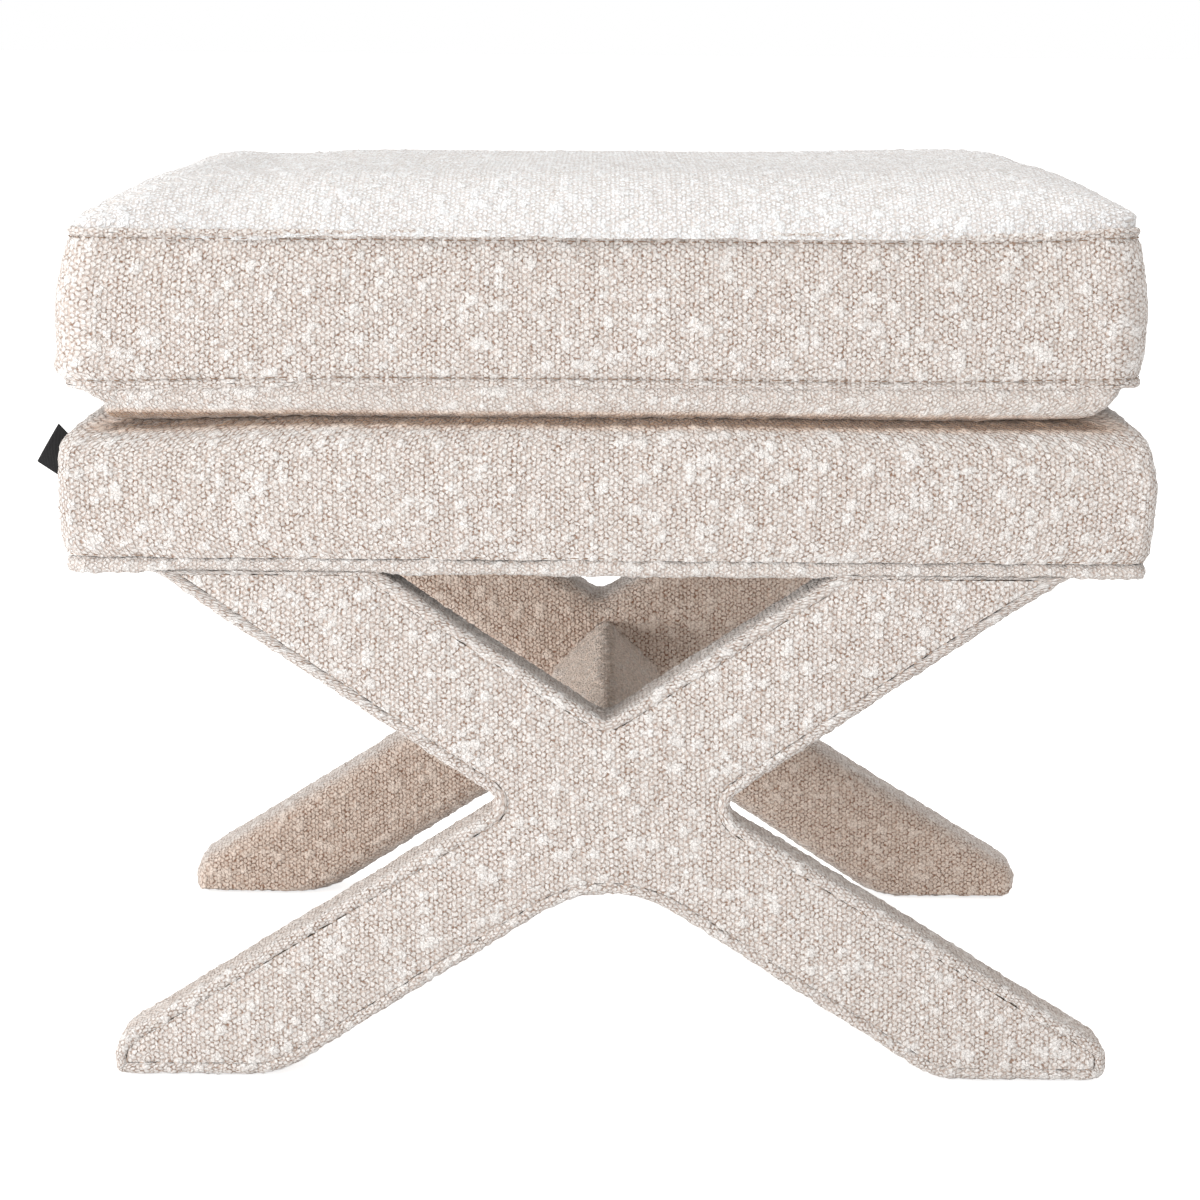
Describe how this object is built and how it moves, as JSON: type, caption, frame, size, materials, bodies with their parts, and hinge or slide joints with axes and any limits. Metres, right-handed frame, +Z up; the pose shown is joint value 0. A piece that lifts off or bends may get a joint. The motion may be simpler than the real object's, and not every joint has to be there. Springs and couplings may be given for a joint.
{
  "type": "ottoman",
  "caption": "Rectangular upholstered ottoman with a loose zipped box cushion on a padded seat base, carried by two fabric-covered X frames joined by a square stretcher",
  "frame": {"origin": "on the floor, under the middle of the seat", "axes": "+X along the longest side, to the right as seen from the front; +Y to the rear, along the depth; +Z up"},
  "size_m": [0.62, 0.46, 0.5153],
  "materials": {
    "boucle": "looped, matte",
    "fibre": "matte wadding",
    "foam": "matte foam",
    "timber": "sawn and planed, unfinished",
    "steel": "zinc plated",
    "glide_plastic": "matte",
    "webbing": "woven jute",
    "hessian": "coarse weave",
    "black_lining": "matte non-woven",
    "black_tape": "woven tape",
    "zip_tape": "woven tape",
    "zip_coil": "nylon coil",
    "zip_metal": "satin"
  },
  "bodies": {
    "base": {"front_x_cover_left": "boucle", "front_x_cover_right": "boucle", "front_x_face_panel": "boucle", "front_x_padding": "fibre", "front_x_face_pad": "fibre", "front_x_beam_left": "timber", "front_x_beam_right": "timber", "front_x_arch_block": "timber", "rear_x_cover_left": "boucle", "rear_x_cover_right": "boucle", "rear_x_face_panel": "boucle", "rear_x_padding": "fibre", "rear_x_face_pad": "fibre", "rear_x_beam_left": "timber", "rear_x_beam_right": "timber", "rear_x_arch_block": "timber", "lap_screws": "steel", "foot_glides": "glide_plastic", "stretcher_cover": "boucle", "stretcher_padding": "fibre", "stretcher_core": "timber", "stretcher_bolts": "steel", "stretcher_washers": "steel", "stretcher_inserts": "steel", "frame_bolts": "steel", "frame_washers": "steel", "arm_inserts": "steel", "seat_rail_front": "timber", "seat_rail_rear": "timber", "seat_rail_left": "timber", "seat_rail_right": "timber", "corner_blocks": "timber", "webbing_long": "webbing", "webbing_cross": "webbing", "hessian_sheet": "hessian", "seat_side_padding": "fibre", "seat_foam": "foam", "seat_cover": "boucle", "seat_hem": "boucle", "dust_cover": "black_lining", "side_tab": "black_tape"},
    "cushion": {"cushion_core": "foam", "cushion_top_fibre": "fibre", "cushion_bottom_fibre": "fibre", "cushion_top_panel": "boucle", "cushion_bottom_panel": "boucle", "cushion_boxing": "boucle", "cushion_top_welt": "boucle", "cushion_bottom_welt": "boucle", "zip_strip_upper": "boucle", "zip_strip_lower": "boucle", "zip_tapes": "zip_tape", "zip_chain": "zip_coil", "zip_stops": "zip_metal"},
    "zip_slider": {"zip_slider": "zip_metal"},
    "zip_pull": {"zip_pull": "zip_metal"}
  },
  "joints": [
    {"name": "cushion_lift", "type": "slide", "parent": "base", "child": "cushion", "axis": [0, 0, 1], "range_m": [0, 0.15]},
    {"name": "zip_run", "type": "slide", "parent": "cushion", "child": "zip_slider", "axis": [-1, 0, 0], "range_m": [0, 0.488]},
    {"name": "pull_swing", "type": "hinge", "parent": "zip_slider", "child": "zip_pull", "pos_m": [0.2385, 0.2297, 0.4423], "axis": [0, 0, 1], "range_deg": [0, 180]}
  ]
}
